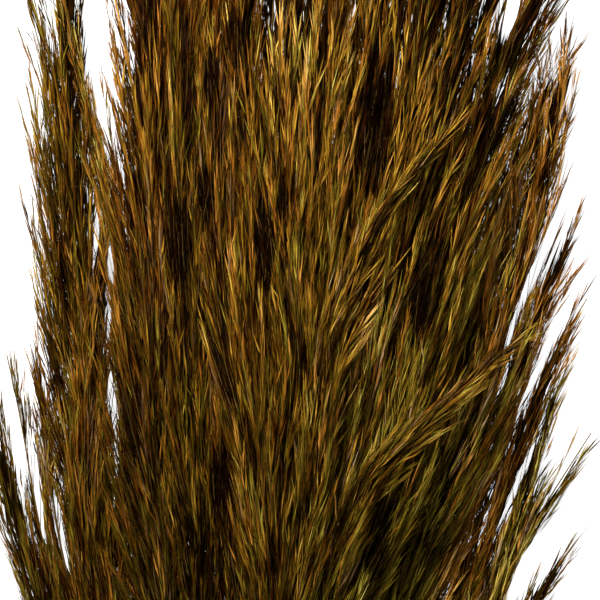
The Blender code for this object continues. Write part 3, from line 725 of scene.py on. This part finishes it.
def reed_material(name, seed, warm):
    m = Nodes(name)
    uv = m.new("ShaderNodeUVMap", uv_map="OFBake").outputs[0]
    split = m.new("ShaderNodeSeparateXYZ")
    m.link(uv, split.inputs[0])
    u, v = split.outputs[0], split.outputs[1]
    fine = m.noise(m.vector(m.math("MULTIPLY", u, 520.0), m.math("MULTIPLY", v, 34.0), seed), detail=2.0)
    blot = m.noise(m.vector(m.math("MULTIPLY", u, 90.0), m.math("MULTIPLY", v, 30.0), seed + 5.0), detail=3.0)
    step = m.math("DIVIDE", m.math("SUBTRACT", v, BAND_0), BAND_STEP)
    family = m.math("FLOOR", step)
    along = m.math("MULTIPLY", m.math("FRACT", step), BAND_STEP / BAND_TALL)
    # painted shade along each spikelet: darkest at its base, lightest a little before the middle, darker again to its
    # tip
    shade = m.ramp(along, ((0.0, (0.30,) * 3), (0.16, (0.44,) * 3), (0.42, (0.58,) * 3), (0.75, (0.50,) * 3), (1.0, (0.40,) * 3)))
    tone = m.math("ADD", u, m.math("MULTIPLY", m.math("SUBTRACT", fine, 0.5), 0.42))
    tone = m.math("ADD", tone, m.math("MULTIPLY", m.math("SUBTRACT", blot, 0.5), 0.18))
    tone = m.math("ADD", tone, m.math("MULTIPLY", m.math("SUBTRACT", shade, 0.5), 0.55), clamp=True)
    colours = [m.ramp(tone, RAMPS[k]) for k in range(BANDS)]
    colour = colours[0]
    for k in range(1, BANDS):
        colour = m.mix(m.math("GREATER_THAN", family, k - 0.5), colour, colours[k])
    # branches and the stalk in the plume
    stalk = m.ramp(m.math("ADD", m.math("MULTIPLY", fine, 0.6), m.math("MULTIPLY", u, 0.4)),
                   ((0.1, (0.045, 0.022, 0.004)), (0.5, (0.15, 0.084, 0.016)), (0.9, (0.31, 0.20, 0.048))))
    colour = m.mix(m.math("GREATER_THAN", v, 0.625), colour, stalk)
    # the stem: long streaks, darker at the nodes
    streak = m.noise(m.vector(m.math("MULTIPLY", u, 26.0), m.math("MULTIPLY", v, 420.0), seed + 9.0), detail=4.0, rough=0.6)
    cloud = m.noise(m.vector(m.math("MULTIPLY", u, 17.0), m.math("MULTIPLY", v, 22.0), seed + 13.0), detail=3.0)
    straw = m.ramp(m.math("ADD", m.math("MULTIPLY", streak, 0.6), m.math("MULTIPLY", cloud, 0.4)),
                   ((0.28, tuple(0.34 * c * w for c, w in zip((0.36, 0.23, 0.085), warm))),
                    (0.50, tuple(c * w for c, w in zip((0.36, 0.23, 0.085), warm))),
                    (0.72, tuple(1.7 * c * w for c, w in zip((0.36, 0.23, 0.095), warm)))))
    stops = [(0.0, (0.75,) * 3)]
    for at in NODE_U:
        stops += [(at - 0.030, (1.0,) * 3), (at - 0.004, (0.85,) * 3), (at, (0.22,) * 3), (at + 0.006, (0.62,) * 3)]
    stops.append((0.99, (0.9,) * 3))
    straw = m.mix(1.0, straw, m.ramp(u, stops), "MULTIPLY")
    colour = m.mix(m.math("GREATER_THAN", v, 0.73), colour, straw)
    # the cut end: pale rim, and a dark hollow whose darkness is painted shade
    rim_and_hollow_shade = m.ramp(m.span(v, CUT_V[0], CUT_V[1], 0.0, 1.0),
                  ((0.0, (0.40, 0.29, 0.13)), (0.30, (0.52, 0.42, 0.24)), (0.40, (0.12, 0.08, 0.035)), (1.0, (0.04, 0.025, 0.012))))
    rim_and_hollow_shade = m.mix(m.math("MULTIPLY", fine, 0.5), rim_and_hollow_shade, (0.12, 0.08, 0.04))
    colour = m.mix(m.math("GREATER_THAN", v, 0.915), colour, rim_and_hollow_shade)
    rough = m.math("ADD", 0.46, m.math("MULTIPLY", m.math("ADD", fine, blot), 0.18))
    height = m.math("ADD", fine, m.math("MULTIPLY", m.math("GREATER_THAN", v, 0.73), m.math("MULTIPLY", streak, 2.0)))
    return m.surface(colour, rough, height, 0.35, 0.00012, sheen=0.0, spec=0.02)


def twine_material():
    m = Nodes("twine_jute")
    uv = m.new("ShaderNodeUVMap", uv_map="OFBake").outputs[0]
    split = m.new("ShaderNodeSeparateXYZ")
    m.link(uv, split.inputs[0])
    u, v = split.outputs[0], split.outputs[1]
    fibre = m.noise(m.vector(m.math("MULTIPLY", u, 14.0), m.math("MULTIPLY", v, 70.0), 3.0), detail=5.0, rough=0.65)
    cloud = m.noise(m.vector(m.math("MULTIPLY", u, 5.0), m.math("MULTIPLY", v, 5.0), 7.0), detail=2.0)
    colour = m.ramp(m.math("ADD", m.math("MULTIPLY", fibre, 0.65), m.math("MULTIPLY", cloud, 0.35)),
                    ((0.25, (0.11, 0.065, 0.026)), (0.5, (0.36, 0.24, 0.115)), (0.75, (0.62, 0.47, 0.28))))
    rough = m.span(fibre, 0.2, 0.8, 0.95, 0.72)
    return m.surface(colour, rough, fibre, 0.7, 0.0002, sheen=0.15, spec=0.2)


# ---- the twine ------------------------------------------------------------------------
TWINE = 2.6 * MM
TURNS = 4
RING = 15.75 * MM            # inner radius of the turns


def twine_piece():
    """Three plies laid up together: four turns, a knot on top and two cut ends."""
    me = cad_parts["twine_tie"].data
    co = np.array([v.co for v in me.vertices])
    low = co[co[:, 2] < co[:, 2].min() + 0.3 * MM]
    cx, cy = low[:, 0].mean(), (low[:, 1].min() + low[:, 1].max()) / 2
    cz = co[:, 2].min() + RING + TWINE
    rng = np.random.default_rng(SEED + 900)
    mesh = Mesh()
    ply, lay, pitch = 0.74 * MM, 0.60 * MM, 8.5 * MM

    def rope(line, start=0.0, closed=False, taper=False):
        """The plies along a line; returns their middle lines."""
        n = len(line)
        if closed:
            t = unit(np.roll(line, -1, 0) - np.roll(line, 1, 0))
        else:
            t = unit(np.gradient(line, axis=0))
        a, b = sideways(t)
        for k in range(1, n):
            a[k] = a[k - 1] - t[k] * (a[k - 1] @ t[k])
            a[k] /= np.linalg.norm(a[k])
            b[k] = np.cross(t[k], a[k])
        s = np.concatenate([[0], np.cumsum(np.linalg.norm(np.diff(line, axis=0), axis=1))])
        turns = 2 * math.pi * s / pitch
        if closed:  # a whole number of turns
            length = s[-1] + np.linalg.norm(line[0] - line[-1])
            turns = 2 * math.pi * round(length / pitch) * s / length
        lines = []
        for p in range(3):
            w = turns + 2 * math.pi * p / 3
            open_up = np.ones(n)
            if taper:
                open_up = 1 + 0.9 * np.clip((s - s[-1] + 5 * MM) / (5 * MM), 0, 1) ** 2
            q = line + (np.cos(w)[:, None] * a + np.sin(w)[:, None] * b) * (lay * open_up)[:, None]
            r = np.full(n, ply) * (1 + 0.05 * np.sin(s / MM * 1.7 + p * 2 + start))
            if taper:
                r = r * np.interp(s, (s[-1] - 3 * MM, s[-1]), (1.0, 0.75))
            v = 0.03 + 0.30 * p + 0.28 * np.arange(7) / 6

            us = 0.02 + 0.96 * (np.arange(n + 1) % 24) / 24

            def place(k, j, v=v, us=us):
                return (us[k], v[j])

            # the map repeats along the ply; the last step of each repeat runs to its end
            tube(mesh, q, r, 6, place, closed=closed)
            uv = mesh.uv[-1].reshape(-1, 3, 2).copy()
            wrap = (np.ptp(uv[:, :, 0], axis=1) > 0.5)
            fix = uv[wrap]
            fix[:, :, 0] = np.where(fix[:, :, 0] < 0.1, 0.98, fix[:, :, 0])
            uv[wrap] = fix
            mesh.uv[-1] = uv.reshape(-1, 2)
            lines.append(q)
        return lines

    # the turns, from the knot round and back to it
    across = 1.04 * TWINE
    count = 4 * 92
    th = np.linspace(0, TURNS * 2 * math.pi, count)
    y = -TURNS * across / 2 + across * (0.5 + (TURNS - 1) * th / th[-1])
    rad = RING + TWINE / 2
    angle = math.pi / 2 + th
    turns = np.stack([cx + rad * np.cos(angle), cy + y, cz + rad * np.sin(angle)], 1)
    plies = rope(turns)
    # the knot: a small closed tangle drawn tight on the top turns
    w = np.linspace(0, 2 * math.pi, 66)[:-1]
    kx, ky = 1.18 * MM * (np.sin(w) + 2 * np.sin(2 * w)), 1.05 * MM * (np.cos(w) - 2 * np.cos(2 * w))
    kz = -0.95 * MM * np.sin(3 * w)
    c, s = math.cos(math.radians(24)), math.sin(math.radians(24))
    top = cz + RING + TWINE
    knot = np.stack([cx + c * kx - s * ky, cy + s * kx + c * ky, top + 0.9 * MM + kz], 1)
    plies += rope(knot, closed=True)
    # two cut ends, lying round the tie from the knot
    for side, sweep in ((1, 62), (-1, 71)):
        t = np.linspace(0, 1, 30)
        turn = np.radians(90 - side * (4 + sweep * t))
        out = RING + TWINE + TWINE * (0.45 + 0.55 * np.minimum(1, 3 * t) + 0.5 * t * t)
        y = side * 6.5 * MM * t**1.3
        end = np.stack([cx + out * np.cos(turn), cy + y, cz + out * np.sin(turn)], 1)
        tips = rope(end, start=side, taper=True)
        plies += tips
        # loose fibres at the cut
        way = unit(end[-1] - end[-3])
        for q in tips:
            m = 9
            dirs = unit(way + rng.normal(0, 0.30, (m, 3)))
            a, b = sideways(dirs)
            spikelets(mesh, np.repeat(q[-1][None], m, 0) + rng.normal(0, 0.3 * MM, (m, 3)) - dirs * 1.5 * MM, dirs, a,
                      rng.uniform(3.2, 6.0, m) * MM, np.full(m, 0.16 * MM), rng.uniform(0.2, 0.9, m),
                      np.full(m, 0.0), False, rng.uniform(-0.2, 0.2, m), rng)
    # short fibres that stand off the twine
    line = np.concatenate(plies)
    pick = rng.choice(len(line) - 2, 260, replace=False)
    at = line[pick]
    along = unit(line[pick + 1] - line[pick])
    out = unit(at - np.array([cx, cy, cz]) * [1, 0, 1] - np.array([0, 1, 0]) * at)
    dirs = unit(along * rng.choice([-1, 1], len(at))[:, None] + out * rng.uniform(0.2, 0.7, (len(at), 1))
                + rng.normal(0, 0.25, (len(at), 3)))
    a, b = sideways(dirs)
    ok = np.linalg.norm(line[pick + 1] - line[pick], axis=1) < 3 * MM
    spikelets(mesh, (at + out * 0.5 * MM)[ok], dirs[ok], a[ok], rng.uniform(1.6, 3.6, ok.sum()) * MM,
              np.full(ok.sum(), 0.11 * MM), rng.uniform(0.1, 0.9, ok.sum()), np.zeros(ok.sum()), False,
              rng.uniform(-0.25, 0.25, ok.sum()), rng)
    piece = mesh.build("twine", twine_material())
    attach(piece, "root")
    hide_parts("twine_tie")
    return piece


# ---- everything -----------------------------------------------------------------------
MATERIALS = {
    "reed_golden": reed_material("reed_golden_looks", 1.0, (1.0, 1.0, 1.0)),
    "reed_rust": reed_material("reed_rust_looks", 21.0, (1.0, 0.86, 0.80)),
    "reed_olive": reed_material("reed_olive_looks", 41.0, (0.82, 0.86, 0.80)),
}

triangles = 0
spikes = 0
for number in range(1, 46):
    node = "reed_%02d" % number
    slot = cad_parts[node].data.materials[0].name.split(".")[0]
    rng = np.random.default_rng(SEED + number)
    line = Line(node)
    shown = number <= SHOWN
    mesh = Mesh()
    stem(mesh, line, rng, shown)
    spikes += plume(mesh, number, line, slot, rng, shown)
    piece = mesh.build("plume_" + node, MATERIALS[slot])
    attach(piece, "root")
    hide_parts(node)
    triangles += len(piece.data.polygons)
    if number in (4, 11, 23, 30):
        print("reed", number, "triangles", len(piece.data.polygons))
tie = twine_piece()
triangles += len(tie.data.polygons)
print("triangles", triangles, "spikelets", spikes, "twine", len(tie.data.polygons))

# ---- floor, light and camera -------------------------------------------------------------
def pale(name, verts, faces):
    """A part of the studio, plain white."""
    me = bpy.data.meshes.new(name)
    me.from_pydata(verts, [], faces)
    m = Nodes(name + "_white")
    shader = m.new("ShaderNodeBsdfPrincipled")
    shader.inputs["Base Color"].default_value = (0.50, 0.50, 0.50, 1)
    shader.inputs["Roughness"].default_value = 0.9
    shader.inputs["Specular IOR Level"].default_value = 0.1
    shader.inputs["Emission Color"].default_value = (1, 1, 1, 1)
    shader.inputs["Emission Strength"].default_value = 0.97
    out = m.new("ShaderNodeOutputMaterial")
    m.link(shader.outputs[0], out.inputs["Surface"])
    me.materials.append(m.mat)
    obj = bpy.data.objects.new(name, me)
    bpy.context.scene.collection.objects.link(obj)
    obj.visible_diffuse = False
    obj.visible_glossy = False
    return obj


def studio():
    """The floor, and a round wall far behind it."""
    h, far, high, sides = 14.0, 13.0, 9.0, 48
    pale("floor", [(-h, -h, 0), (h, -h, 0), (h, h, 0), (-h, h, 0)], [(0, 1, 2, 3)])
    turn = [2 * math.pi * k / sides for k in range(sides)]
    verts = [(far * math.cos(a), far * math.sin(a), z) for z in (-0.2, high) for a in turn]
    faces = [(k, (k + 1) % sides, sides + (k + 1) % sides, sides + k) for k in range(sides)]
    wall = pale("backdrop", verts, faces)
    wall.visible_shadow = False


def light(name, at, aim, size, power, colour=(1, 1, 1)):
    data = bpy.data.lights.new(name, "AREA")
    data.shape = "SQUARE"
    data.size = size
    data.energy = power
    data.color = colour
    obj = bpy.data.objects.new(name, data)
    obj.location = at
    obj.rotation_euler = (Vector(aim) - Vector(at)).to_track_quat("-Z", "Y").to_euler()
    obj.visible_camera = False
    bpy.context.scene.collection.objects.link(obj)


studio()
light("key", (-0.30, 0.76, 0.84), (0.0, 0.20, 0.03), 0.42, 15.0, (1.0, 0.985, 0.96))
light("fill", (0.9, -0.3, 1.6), (0.0, 0.15, 0.03), 1.4, 5.0)

world = bpy.data.worlds.new("studio")
world.use_nodes = True
world.node_tree.nodes["Background"].inputs[0].default_value = (1, 1, 1, 1)
world.node_tree.nodes["Background"].inputs[1].default_value = 0.10
bpy.context.scene.world = world
bpy.context.scene.view_settings.view_transform = "Standard"
bpy.context.scene.view_settings.look = "None"
bpy.context.scene.view_settings.exposure = 0.0
bpy.context.scene.view_settings.gamma = 1.0

camera_data = bpy.data.cameras.new("camera")
camera_data.sensor_width = 36.0
camera_data.lens = 324.0
camera_data.clip_start, camera_data.clip_end = 0.05, 30.0
camera = bpy.data.objects.new("camera", camera_data)
camera.location = (0.0081, 0.2075, 0.04 + 2.70)
camera.rotation_euler = (0.0, 0.0, 0.0)
bpy.context.scene.collection.objects.link(camera)
bpy.context.scene.camera = camera
